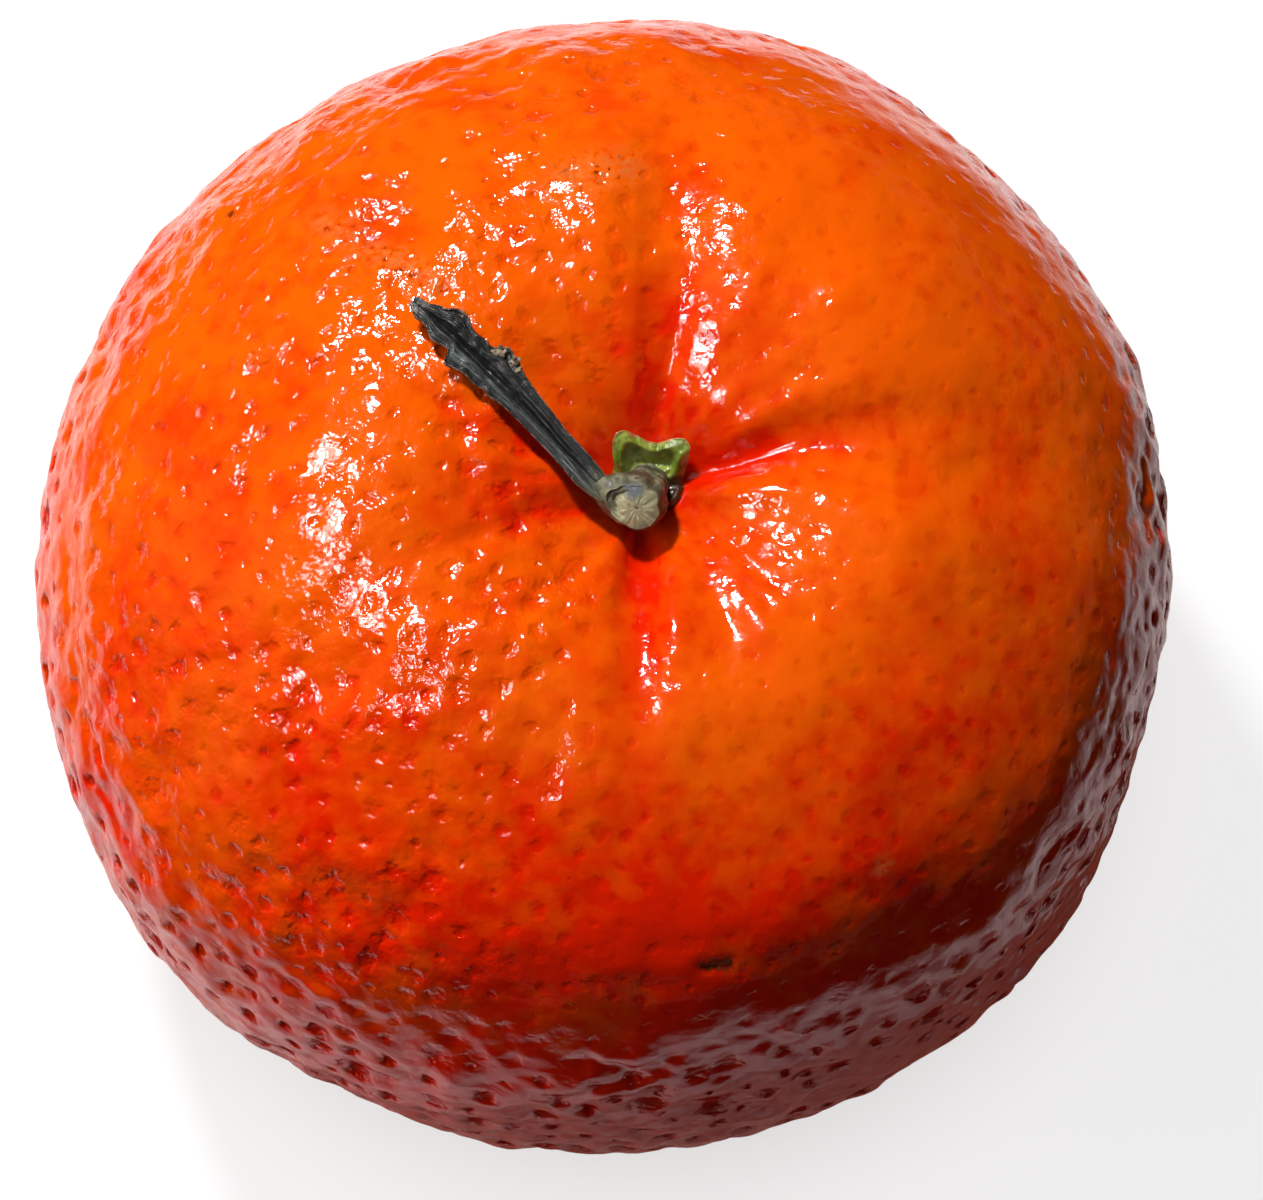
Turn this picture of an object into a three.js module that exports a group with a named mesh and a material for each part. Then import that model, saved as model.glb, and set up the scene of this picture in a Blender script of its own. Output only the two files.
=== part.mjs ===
import * as THREE from 'three';

// A mandarin: the whole fruit, its calyx, the cut fruit stem and one dried leaf stalk.
// Millimetres, +Z up. The fruit rests on z = 0 and is centred on the Z axis.

// ---- Driving dimensions -------------------------------------------------

const FRUIT_WIDTH = 62;
const FRUIT_RADIUS = FRUIT_WIDTH / 2;
const HALF_HEIGHT = 24; // of the full profile, before the cavity and the resting flat
const PROFILE_POWER = 2.35; // 2 is an ellipse; higher is squarer
const REST_CUT = 0.5; // how much the resting flat takes off the bottom
const MID_HEIGHT = HALF_HEIGHT - REST_CUT;

const CAVITY_X = 2.6; // the stem cavity is a little off the middle
const CAVITY_Y = 0.3;
const DISH_DEPTH = 4.2; // a wide shallow dish, with a narrow funnel in its middle
const DISH_RADIUS = 10;
const FUNNEL_DEPTH = 2;
const FUNNEL_RADIUS = 3;

const TOP_RINGS = 22; // facets of the fruit
const BOTTOM_RINGS = 12;
const FRUIT_SIDES = 64;

const GAP = 0.4; // upright clearance between neighbouring pieces, about 0.3 square to the rind

const STUB_RADIUS = 1.55;
const STUB_FOOT_RADIUS = 1.2;
const STUB_FOOT_LIFT = 0.75; // room for the lean of the stub's foot
const STUB_TOP = new THREE.Vector3(2.1, -2, 45.6);
const COLLAR_HEIGHT = 0.7; // the swelling of the stub that the leaf stalk grew from
const COLLAR_TOWARD = 162; // degrees
const COLLAR_SPREAD = 35;

const STALK_THICKNESS = 0.5;
const STALK_BASE = new THREE.Vector3(-0.8, -1.05, 45.2);
const STALK_TIP = new THREE.Vector3(-9, 8.3, 46.3);
const STALK_BASE_WIDTH = 1.5;
const STALK_FULL_WIDTH = 2.7;
const STALK_TIP_WIDTH = 1.2;
const STALK_BOW = new THREE.Vector3(0.7, 0.7, 0); // how far its middle is bent aside

const SEPAL_COUNT = 5;
const SEPAL_TIP_RADIUS = 2.65; // of the two behind the stem; the others have dried short
const SEPAL_NOTCH_RADIUS = 1.75;
const SEPAL_FIRST = 54; // degrees
const CALYX_THICKNESS = 0.5;
const HORN_RISE = 1.6; // how far the curled sepals stand up

// Soft shoulders that keep the fruit from being perfectly round.
const SHOULDER_SPREAD = 17; // degrees
const SHOULDERS = [
  { toward: 15, height: 0.5 },
  { toward: 70, height: 0.5 },
  { toward: 220, height: 0.7 },
  { toward: 265, height: 0.2 },
  { toward: 315, height: 0.7 },
];

// Creases that run out of the stem cavity.
const CREASES = [
  { toward: 85, depth: 0.8, reach: 11, width: 2.2 },
  { toward: 12, depth: 0.9, reach: 11, width: 1.3 },
  { toward: 268, depth: 0.9, reach: 12, width: 1.4 },
  { toward: 203, depth: 0.6, reach: 10, width: 0.8 },
  { toward: 163, depth: 0.5, reach: 12, width: 1.0 },
  { toward: 318, depth: 0.4, reach: 9, width: 1.2 },
];

// ---- Small helpers ------------------------------------------------------

const radians = THREE.MathUtils.degToRad;

function angleBetween(a, b) {
  return Math.atan2(Math.sin(a - b), Math.cos(a - b));
}

function bell(x) {
  return Math.exp(-x * x);
}

function power(value, exponent) {
  return Math.sign(value) * Math.abs(value) ** exponent;
}

// Closes a stack of equal loops of points into a solid, with a fan over each end.
function loft(loops) {
  const count = loops[0].length;
  const points = loops.flat();
  const triangles = [];
  for (let row = 0; row + 1 < loops.length; row += 1) {
    for (let i = 0; i < count; i += 1) {
      const a = row * count + i;
      const b = row * count + ((i + 1) % count);
      triangles.push(a, b, b + count, a, b + count, a + count);
    }
  }
  addCap(points, triangles, 0, count, true);
  addCap(points, triangles, (loops.length - 1) * count, count, false);
  return toGeometry(points, triangles);
}

function addCap(points, triangles, start, count, facesBack) {
  const middle = new THREE.Vector3();
  for (let i = 0; i < count; i += 1) {
    middle.addScaledVector(points[start + i], 1 / count);
  }
  const centre = points.push(middle) - 1;
  for (let i = 0; i < count; i += 1) {
    const a = start + i;
    const b = start + ((i + 1) % count);
    triangles.push(...(facesBack ? [centre, b, a] : [centre, a, b]));
  }
}

function toGeometry(points, triangles) {
  const geometry = new THREE.BufferGeometry().setFromPoints(points);
  geometry.setIndex(triangles);
  geometry.computeVertexNormals();
  return geometry;
}

function piece(name, geometry, color, roughness) {
  const material = new THREE.MeshStandardMaterial({ color, roughness, metalness: 0 });
  const mesh = new THREE.Mesh(geometry, material);
  mesh.name = name;
  return mesh;
}

// ---- Fruit --------------------------------------------------------------

function shoulderHeight(around) {
  let height = 0;
  for (const shoulder of SHOULDERS) {
    const away = angleBetween(around, radians(shoulder.toward));
    height += shoulder.height * bell(away / radians(SHOULDER_SPREAD));
  }
  return height;
}

function creaseDepth(around, out) {
  let depth = 0;
  for (const crease of CREASES) {
    const away = angleBetween(around, radians(crease.toward));
    if (Math.abs(away) > Math.PI / 2) continue;
    const side = out * Math.sin(away);
    const along = bell(out / crease.reach) * (1 - bell(out / 2.5));
    depth += crease.depth * bell(side / crease.width) * along;
  }
  return depth;
}

function hollowDepth(around, out) {
  const dish = DISH_DEPTH * bell(out / DISH_RADIUS);
  const funnel = FUNNEL_DEPTH * bell(out / FUNNEL_RADIUS);
  return dish + funnel + creaseDepth(around, out);
}

// A point of the rind: down runs from 0 at the stem to PI at the bottom.
function rindPoint(down, around) {
  const reach = FRUIT_RADIUS * power(Math.sin(down), 2 / PROFILE_POWER);
  const rise = HALF_HEIGHT * power(Math.cos(down), 2 / PROFILE_POWER);
  const fullness = Math.sin(down) ** 2;
  const out = reach + shoulderHeight(around) * fullness;
  const lean = Math.max(0, Math.cos(down)) ** 1.5;
  let z = MID_HEIGHT + rise;
  if (rise > 0) z -= hollowDepth(around, reach);
  return new THREE.Vector3(
    out * Math.cos(around) + CAVITY_X * lean,
    out * Math.sin(around) + CAVITY_Y * lean,
    Math.max(z, 0),
  );
}

// Height of the rind near the stem, above a point given by its place in the cavity.
function cavityHeight(x, y) {
  const out = Math.hypot(x - CAVITY_X, y - CAVITY_Y);
  const around = Math.atan2(y - CAVITY_Y, x - CAVITY_X);
  const across = (out / FRUIT_RADIUS) ** PROFILE_POWER;
  const dome = HALF_HEIGHT * (1 - across) ** (1 / PROFILE_POWER);
  return MID_HEIGHT + dome - hollowDepth(around, out);
}

// Rings are close together in the stem cavity, where the rind curves most.
function ringAngles() {
  const quarter = Math.PI / 2;
  const top = Array.from({ length: TOP_RINGS }, (_, i) => quarter * ((i + 1) / TOP_RINGS) ** 1.7);
  const bottom = Array.from(
    { length: BOTTOM_RINGS - 1 },
    (_, i) => quarter * (1 + (i + 1) / BOTTOM_RINGS),
  );
  return [...top, ...bottom];
}

function fruitGeometry() {
  const loops = ringAngles().map((down) =>
    Array.from({ length: FRUIT_SIDES }, (_, side) =>
      rindPoint(down, (2 * Math.PI * side) / FRUIT_SIDES),
    ),
  );
  return loft(loops.reverse());
}

// ---- Calyx --------------------------------------------------------------

// 1 behind the stem, where the sepals are long and curl up, and 0 in front of it.
function behindStem(around) {
  return THREE.MathUtils.smoothstep(Math.sin(around), 0, 0.6);
}

function sepalReach(around) {
  const wave = Math.cos((SEPAL_COUNT * angleBetween(around, radians(SEPAL_FIRST))) / 2) ** 2;
  const length = (SEPAL_TIP_RADIUS - SEPAL_NOTCH_RADIUS) * behindStem(around);
  return SEPAL_NOTCH_RADIUS + length * wave;
}

function hornRise(around, outward) {
  return HORN_RISE * behindStem(around) * outward ** 3;
}

function calyxPoint(around, outward, lift) {
  const out = sepalReach(around) * outward;
  const x = CAVITY_X + out * Math.cos(around);
  const y = CAVITY_Y + out * Math.sin(around);
  return new THREE.Vector3(x, y, cavityHeight(x, y) + GAP + hornRise(around, outward) + lift);
}

function calyxGeometry() {
  const sides = 60;
  const underside = [0.15, 0.4, 0.65, 0.85, 1];
  const rows = [
    ...underside.map((outward) => [outward, 0]),
    ...[...underside].reverse().map((outward) => [outward, CALYX_THICKNESS]),
  ];
  return loft(
    rows.map(([outward, lift]) =>
      Array.from({ length: sides }, (_, side) =>
        calyxPoint((2 * Math.PI * side) / sides, outward, lift),
      ),
    ),
  );
}

// ---- Stem stub ----------------------------------------------------------

function stubFoot() {
  const calyxTop = cavityHeight(CAVITY_X, CAVITY_Y) + GAP + CALYX_THICKNESS;
  const z = calyxTop + GAP + STUB_FOOT_LIFT;
  return new THREE.Vector3(CAVITY_X, CAVITY_Y, z);
}

function collarHeight(around) {
  const away = angleBetween(around, radians(COLLAR_TOWARD));
  return COLLAR_HEIGHT * bell(away / radians(COLLAR_SPREAD));
}

function stubGeometry() {
  const foot = stubFoot();
  const lean = new THREE.Vector3().subVectors(STUB_TOP, foot).normalize();
  const upright = new THREE.Quaternion().setFromUnitVectors(new THREE.Vector3(0, 0, 1), lean);
  const sides = 24;
  const rings = [0, 0.25, 0.5, 0.75, 0.92, 1];
  const loops = rings.map((part) => {
    const swell = THREE.MathUtils.smoothstep(part, 0, 0.8);
    const radius = THREE.MathUtils.lerp(STUB_FOOT_RADIUS, STUB_RADIUS, swell);
    const centre = new THREE.Vector3().lerpVectors(foot, STUB_TOP, part);
    return Array.from({ length: sides }, (_, side) => {
      const around = (2 * Math.PI * side) / sides;
      const offset = new THREE.Vector3(Math.cos(around), Math.sin(around), 0);
      const reach = radius + collarHeight(around) * swell;
      return offset.multiplyScalar(reach).applyQuaternion(upright).add(centre);
    });
  });
  return loft(loops);
}

// ---- Leaf stalk ---------------------------------------------------------

function stalkPath() {
  const bend = new THREE.Vector3().lerpVectors(STALK_BASE, STALK_TIP, 0.45).add(STALK_BOW);
  return new THREE.QuadraticBezierCurve3(STALK_BASE, bend, STALK_TIP);
}

function stalkWidth(along) {
  const widening = THREE.MathUtils.smoothstep(along, 0.25, 0.7);
  const narrowing = THREE.MathUtils.smoothstep(along, 0.8, 1);
  const full = THREE.MathUtils.lerp(STALK_BASE_WIDTH, STALK_FULL_WIDTH, widening);
  return THREE.MathUtils.lerp(full, STALK_TIP_WIDTH, narrowing);
}

// Across the stalk, from -1 to 1: the wings turn up and leave a groove along the middle.
function stalkLoop(centre, across, width) {
  const places = [-1, -0.5, 0, 0.5, 1];
  const at = (place, lift) =>
    centre
      .clone()
      .addScaledVector(across, (place * width) / 2)
      .add(new THREE.Vector3(0, 0, 0.3 * Math.abs(place) + lift));
  const under = places.map((place) => at(place, -STALK_THICKNESS / 2));
  const top = [...places].reverse().map((place) => at(place, STALK_THICKNESS / 2));
  return [...under, ...top];
}

function stalkGeometry() {
  const path = stalkPath();
  const steps = 16;
  const loops = [];
  for (let step = 0; step <= steps; step += 1) {
    const along = step / steps;
    const heading = path.getTangent(along);
    const across = new THREE.Vector3(heading.y, -heading.x, 0).normalize().negate();
    loops.push(stalkLoop(path.getPoint(along), across, stalkWidth(along)));
  }
  return loft(loops);
}

// ---- Assembly -----------------------------------------------------------

const mandarin = new THREE.Group();
mandarin.name = 'mandarin';
mandarin.add(piece('fruit', fruitGeometry(), '#e2620c', 0.38));
mandarin.add(piece('calyx', calyxGeometry(), '#4f7a2a', 0.5));
mandarin.add(piece('stem_stub', stubGeometry(), '#8f8c68', 0.75));
mandarin.add(piece('leaf_stalk', stalkGeometry(), '#3b3f2c', 0.55));

// Centre the fruit over the origin, resting on z = 0.
const box = new THREE.Box3().setFromObject(mandarin);
const middle = box.getCenter(new THREE.Vector3());
for (const mesh of mandarin.children) {
  mesh.geometry.translate(-middle.x, -middle.y, -box.min.z);
}

export default mandarin;
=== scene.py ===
"""A mandarin with a pitted, waxy rind, a green calyx, a cut fruit stem and a dried leaf stalk."""

import math
from collections import namedtuple

import bmesh
import bpy
import numpy as np
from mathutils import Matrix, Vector, kdtree, noise


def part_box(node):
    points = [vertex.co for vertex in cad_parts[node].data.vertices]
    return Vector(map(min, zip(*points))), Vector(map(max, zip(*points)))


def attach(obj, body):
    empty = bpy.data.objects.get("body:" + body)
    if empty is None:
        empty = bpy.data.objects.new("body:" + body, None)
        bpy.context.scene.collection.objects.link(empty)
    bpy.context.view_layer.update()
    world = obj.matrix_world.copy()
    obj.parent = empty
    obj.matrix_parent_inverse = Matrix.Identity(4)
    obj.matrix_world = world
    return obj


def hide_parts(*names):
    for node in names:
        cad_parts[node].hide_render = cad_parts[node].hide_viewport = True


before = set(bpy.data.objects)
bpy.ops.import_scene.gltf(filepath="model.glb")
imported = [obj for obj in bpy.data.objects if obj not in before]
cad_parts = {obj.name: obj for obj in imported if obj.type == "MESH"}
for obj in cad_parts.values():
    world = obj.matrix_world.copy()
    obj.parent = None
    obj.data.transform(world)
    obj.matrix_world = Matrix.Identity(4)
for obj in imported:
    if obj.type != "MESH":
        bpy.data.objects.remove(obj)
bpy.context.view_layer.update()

MM = 0.001

# ---- Rind, in millimetres and degrees ------------------------------------

FRUIT_RADIUS = 31.0
HALF_HEIGHT = 24.0
PROFILE_POWER = 2.35
REST_CUT = 0.5
MID_HEIGHT = HALF_HEIGHT - REST_CUT

CAVITY = np.array([2.6, 0.3])  # the stem cavity's axis
CAVITY_LEAN_POWER = 1.5  # how the rind leans over towards it
DISH_DEPTH = 4.2  # a wide shallow dish, with a narrow funnel in its middle
DISH_RADIUS = 10.0
FUNNEL_DEPTH = 2.0
FUNNEL_RADIUS = 3.0

SHOULDER_SPREAD = 17.0
SHOULDERS = [  # direction, height
    (15, 0.5),
    (70, 0.5),
    (220, 0.7),
    (265, 0.2),
    (315, 0.7),
]

CREASE_START = 2.5
CREASES = [  # direction, depth, reach, width
    (85, 0.8, 11, 2.2),
    (11, 1.2, 12, 1.3),
    (268, 0.9, 12, 1.4),
    (203, 0.6, 10, 0.8),
    (163, 0.5, 12, 1.0),
    (318, 0.4, 9, 1.2),
]

SWELLS = [  # direction and distance from the middle, half angle and half length, height
    (300, 25.0, 58, 4.0, 0.9),
    (1, 17.0, 13, 8.5, -1.1),
    (84, 15.0, 10, 6.0, -0.6),
    (40, 15.0, 13, 5.0, 0.4),
    (345, 14.0, 14, 5.0, 0.4),
    (185, 14.0, 20, 6.0, 0.4),
    (232, 15.0, 12, 5.0, 0.3),
]

TOP_FADE = 12.0  # how far above mid height the top's features are at full strength
FOOT_FADE = (0, 3)  # heights between which the texture fades towards the flat spot
FLANK_SLOPE = (0.2, 0.64)  # upward part of the normal, from full flank to none
NEAR_STEM_REACH = 9.0
LIVELY_TOWARD = 165.0  # the shoulder with the deepest texture
LIVELY_FACING = (-0.25, 0.5)  # cosines of the angle from it, from no texture to full
LIVELY_START = (3, 8)  # distances from the stem, from no texture to full
LIVELY_PATCHES = [(1.0, 7, 13)]
LIVELY_PATCH_EDGES = (-0.4, 0.1)
LIVELY_PATCHINESS = (0.45, 0.55)  # the least, and what the patches add

# Every list of noise holds layers: height, wavelength, seed
UNEVEN = [(0.35, 9, 4)]
CALM = [(0.14, 3.4, 5), (0.055, 1.5, 6)]
PEBBLES = [(0.42, 4.0, 7), (0.22, 1.9, 8), (0.06, 0.9, 12)]
WRINKLES = [(0.26, 2.6, 10), (0.13, 1.2, 16)]

TROUGH_DEPTH = 0.45  # short dents in rows, round the flank
TROUGH_LINES = [(1.0, 5.5, 9)]
TROUGH_FLATTEN = 2.0  # how much closer the rows are than the dents in one row
TROUGH_WIDTH = 0.22  # as a share of the noise's height
TROUGH_RAGGED = [(0.3, 1.2, 15)]
TROUGH_GAPS = [(1.0, 4, 14)]
TROUGH_GAP_EDGES = (-0.15, 0.25)
TROUGH_FLANK = 0.5  # how far down the flank they are deepest
TROUGH_FLANK_SPREAD = 0.35

RIBS = [  # fans of ribs round the stem: height, closeness, length, seed
    (0.6, 3.2, 7, 3),
    (0.2, 7.5, 5, 11),
]
RIB_START = (1.5, 5)
RIB_REACH = 11.0

PIT_SPACING = 1.4
PIT_RADIUS = 0.55
PIT_DEPTH = 0.16
PIT_UNEVEN_SPACING = [(0.35, 5, 1)]
PIT_UNEVEN_SIZE = [(1.0, 1.7, 2)]
PIT_UNEVEN_ON_FLANK = 0.5  # how much more their size varies there
PIT_LOOSER = {"near_stem": -0.25, "lively": 0.15, "flank": 0.4}
PIT_LARGER = {"near_stem": -0.25, "lively": 0.15, "flank": 0.5}
PIT_DEEPER = (0.08, 0.35, 1.25)  # shares of the depth: everywhere, lively, flank
PIT_SMALLEST = 0.4  # as a share of the usual radius
PIT_SQUEEZE = 0.75  # how much the pits by the stem are drawn out, away from it
PIT_SQUEEZE_REACH = 10.0
PIT_SEED = 7
RIND_SUBDIVISIONS = 8

SHADE_SIDE_TOWARD = 275.0  # the side turned away from the key light, made redder as painted shade
SHADE_SIDE_SPREAD = 72.0
SHADE_SIDE_START = (12, 24)  # distances from the stem, from none to full
SHADE_SIDE_FOOT = (2, 22)  # heights, from none to full
# Two of these shares are painted shade: the redder creases and the redder side away from the key
# light
REDNESS = {"near_stem": 0.5, "painted_crease_shade": 0.9, "lively": 0.1, "flank": 0.3, "painted_shade_side": 0.9}

BLEMISHES = [  # one end, other end, half width, 1 for a dark scar and 0 for a dry scuff
    ((-14.5, 14.5), (-8.6, 10.3), 0.8, 0),
    ((-1.5, 16.2), (1.2, 17.0), 1.1, 0),
    ((5.3, -24.8), (6.7, -24.6), 0.32, 1),
    ((14.2, -20.0), (14.7, -19.8), 0.35, 0),
    ((11.8, -23.9), (12.1, -23.6), 0.25, 0),
    ((-20.0, 16.5), (-19.8, 16.9), 0.18, 1),
]
SCAR_DEPTH = 0.12
STYLAR_SCAR_RADIUS = 1.3

# ---- Calyx and stem, in millimetres and degrees --------------------------

SEPALS = (40, 126, 198, 270, 338)  # directions of the calyx's points
SEPAL_SPREAD = 24.0
SEPAL_TIP_RADIUS = 2.7
SEPAL_NOTCH_RADIUS = 1.85
HORN_RISE = 1.15
HORN_POWER = 1.4
CALYX_LIFT = 0.35
CALYX_EDGE = 0.25  # how far the edge is rolled down
CALYX_LEDGES = [(0.28, 0.74), (-0.2, 0.52)]  # height, how far out
CALYX_LEDGE_WIDTH = 0.1
CALYX_UNDERSIDE = [(0.98, 0.05), (0.7, 0.0), (0.4, 0.0)]  # how far out, lift
CALYX_FLUTING = [(0.14, 1, 20)]
CALYX_FLUTES = 5
CALYX_WOBBLE = [(0.1, 0.9, 21), (0.07, 0.35, 22)]
CALYX_SIDES = 200
CALYX_ROWS = 48

STUB_TOP = np.array([2.0, -2.15, 45.5])
STUB_RADIUS = 1.42
STUB_FOOT_RADIUS = 1.1
STUB_FOOT_LIFT = 0.4
STUB_EDGE_ROUNDING = 0.25
STUB_SWELL = (0.15, 0.75)  # shares of the way up
STUB_GRAIN = [(0.12, 1, 31)]
STUB_BARK = [(0.09, 0.5, 32)]
KNUCKLE_REACH = 1.15  # the stub swells towards the leaf stalk that grows from it
KNUCKLE_TOWARD = 158.0
KNUCKLE_SPREAD = 36.0
KNUCKLE_RISE = (0.35, 0.8)  # shares of the way up
KNUCKLE_DROOP = 0.55
CUT_DOME = 0.14
CUT_SLOPE = 0.25  # how far the cut drops towards the leaf stalk
CUT_GROOVE = 0.2
CUT_FIBRES = [(0.05, 1, 33)]
CUT_LUMPS = [(0.07, 0.7, 34)]
CUT_PITH = 0.05
STUB_SIDES = 144
STUB_ROWS = 48
CUT_ROWS = 34

STALK_BASE = np.array([0.35, -1.6, 44.9])
STALK_TIP = np.array([-9.7, 8.8, 46.6])
STALK_BOW = np.array([0.55, 0.55, -0.45])
STALK_BOW_PLACE = 0.45
STALK_LEFT = [  # how far along, half width
    (0, 0.25), (0.05, 0.5), (0.12, 0.74), (0.3, 0.72), (0.5, 0.82), (0.66, 1.1),
    (0.74, 1.35), (0.78, 1.5), (0.8, 0.85), (0.9, 0.8), (0.96, 0.6), (1, 0.3),
]
STALK_RIGHT = [
    (0, 0.8), (0.12, 0.84), (0.3, 0.76), (0.45, 0.95), (0.58, 1.2), (0.66, 1.45), (0.7, 1.1),
    (0.76, 1.05), (0.82, 1.35), (0.87, 1.3), (0.9, 0.75), (0.96, 0.5), (1, 0.25),
]
STALK_TORN = 0.4
STALK_STRANDS = [(0.16, 1, 43)]
STALK_ROUGH = [(0.07, 0.5, 44)]
STALK_RIDGE = 0.26
STALK_GROOVE = 0.34
STALK_CURL = 0.22
STALK_THICKNESS = (0.16, 0.34)  # of the wings, and what the middle adds
STALK_STEPS = 220
STALK_PLACES = 33

CRUMBS = [  # how far along the stalk, how far to its right, radius
    (0.58, 1.15, 0.2), (0.61, 1.3, 0.26), (0.66, 1.2, 0.3), (0.68, 1.0, 0.2), (0.85, 1.2, 0.16),
]
CRUMB_LIFT = 0.35
CRUMB_LUMPS = (0.9, 0.7, 50)  # height, wavelength, first seed
CRUMB_FLATTEN = (1, 1, 0.6)
CRUMB_SUBDIVISIONS = 4

# ---- Colours -------------------------------------------------------------

COLOURS = {  # as picked on screen, 0 to 255
    "rind_orange": (248, 94, 2),
    "rind_red": (232, 32, 0),
    # painted shade for the rind's pits
    "painted_pit_shade": (110, 10, 3),
    "scuff": (196, 132, 70),
    "scuff_crumb": (84, 40, 18),
    "scar_dark": (52, 18, 10),
    "scar_pale": (150, 62, 28),
    "sepal_deep": (104, 128, 22),
    "sepal_pale": (172, 190, 84),
    "sepal_speck": (66, 82, 14),
    "sepal_rim": (206, 150, 104),
    "sepal_foot": (58, 40, 16),
    "wood": (150, 144, 104),
    "wood_pale": (190, 186, 148),
    "wood_green": (126, 130, 98),
    "wood_edge": (104, 102, 72),
    "pith": (104, 76, 40),
    "grey_blue_patch": (82, 92, 106),
    "stem_bark": (70, 66, 46),
    "stem_bark_pale": (138, 138, 106),
    "stem_crack": (36, 32, 22),
    "stalk_black": (6, 7, 6),
    "stalk_grey": (27, 29, 26),
    # painted highlight for the stalk's left ridge
    "stalk_ridge_highlight": (112, 124, 122),
    "stalk_groove": (7, 9, 7),
    "stalk_edge": (158, 122, 100),
    "stalk_foot": (108, 112, 86),
    "stalk_tip": (164, 158, 152),
    "crumb_dark": (70, 52, 38),
    "crumb_pale": (158, 140, 116),
}

# ---- Camera and light, in millimetres and degrees ------------------------

CAMERA_ELEVATION = 74.0
CAMERA_DISTANCE = 380.0
FRUIT_WIDTH = 2 * FRUIT_RADIUS + 0.3
FRUIT_SHARE = 0.8945  # of the picture's width
AIM_RIGHT = 1.6
AIM_DOWN = 0.77

LIGHT_DISTANCE = 450.0
LIGHTS = {  # azimuth, elevation, diameter, watts, colour, how it shows on the rind
    "key": (118, 55, 60, 1.92, (1.0, 1.0, 1.0), "both"),
    "ceiling": (165, 76, 400, 0.17, (1.0, 0.96, 0.94), "diffuse"),
    "left_wall": (180, 20, 360, 1.0, (1.0, 0.95, 0.93), "diffuse"),
    "window": (164, 58, 64, 0.5, (1.0, 0.97, 0.97), "glossy"),
    "low_window": (200, 63, 56, 0.24, (1.0, 0.95, 0.95), "glossy"),
    "window_haze": (168, 56, 130, 0.6, (1.0, 0.9, 0.92), "glossy"),
}
FLOOR_WIDTH = 3000.0
FLOOR_GLOW_AND_SHADOW = (0.3, 0.82)  # bright round the fruit, dimmed under it as a painted contact shadow
FLOOR_SHADOW_RADII = (8.0, 36.0)
FLOOR_SHADE = 0.25
MIRROR_CARD = 1400.0  # the table as the rind's wax mirrors it
MIRROR_FADE = (58.0, 122.0)
MIRROR_TINT = (1.0, 0.92, 0.92, 1)
MIRROR_SHADE = 1.1
MIRROR_GLOW = 0.2
MIRROR_FOOT = (30.0, 52.0)  # the dark, warm patch where the fruit stands and throws its shadow
MIRROR_FOOT_PLACE = (6.0, -11.0)
MIRROR_FOOT_TINT = (0.6, 0.12, 0.04, 1)
BACKDROP_RADIUS = 1400.0
BACKDROP_HEIGHT = 3000.0
BACKDROP_GLOW = 0.7
HORIZON = (-0.06, 0.06)
GROUND = 0.235  # the light that comes up from the table, and from the room above it
SKY = 0.01
WORLD_TINT = (1.0, 0.97, 0.95, 1)


# ---- Small helpers -------------------------------------------------------


def bell(x):
    return np.exp(-x * x)


def smooth(x, low, high):
    t = np.clip((x - low) / (high - low), 0, 1)
    return t * t * (3 - 2 * t)


def angle_between(a, b):
    return np.arctan2(np.sin(a - b), np.cos(a - b))


def lobe(around, toward, spread):
    """1 in one direction, fading on both sides of it. toward and spread are in degrees."""
    return bell(angle_between(around, math.radians(toward)) / math.radians(spread))


def unit(vectors):
    length = np.linalg.norm(vectors, axis=-1, keepdims=True)
    return vectors / np.maximum(length, 1e-9)


def ripple(points, wavelength, seed):
    """Smooth noise from -1 to 1 at each point, with swells about a wavelength apart."""
    scaled = points / wavelength + seed * 17.3
    return np.array([noise.noise(Vector(p)) for p in scaled])


def layered(points, layers):
    """Several ripples on top of each other, each given as its height, wavelength and seed."""
    return sum(height * ripple(points, wavelength, seed) for height, wavelength, seed in layers)


def screen_colour(name):
    """A colour of COLOURS as the linear value that materials take."""
    def linear(c):
        c /= 255
        return c / 12.92 if c <= 0.04045 else ((c + 0.055) / 1.055) ** 2.4

    return (*(linear(part) for part in COLOURS[name]), 1.0)


# ---- Rind shape ----------------------------------------------------------


def shoulder_height(around):
    return sum(height * lobe(around, toward, SHOULDER_SPREAD) for toward, height in SHOULDERS)


def crease_depth(around, out):
    depth = np.zeros_like(out)
    for toward, deep, reach, width in CREASES:
        away = angle_between(around, math.radians(toward))
        side = out * np.sin(away)
        along = bell(out / reach) * (1 - bell(out / CREASE_START))
        depth += np.where(np.abs(away) < math.pi / 2, deep * bell(side / width) * along, 0)
    return depth


def swell_height(around, out):
    """The broad lobes and valleys between the shoulders and the stem cavity."""
    return sum(
        height * lobe(around, toward, half_angle) * bell((out - distance) / half_length)
        for toward, distance, half_angle, half_length, height in SWELLS
    )


def hollow_depth(around, out):
    dish = DISH_DEPTH * bell(out / DISH_RADIUS)
    funnel = FUNNEL_DEPTH * bell(out / FUNNEL_RADIUS)
    return dish + funnel + crease_depth(around, out)


def signed_power(value, exponent):
    return np.sign(value) * np.abs(value) ** exponent


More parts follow.
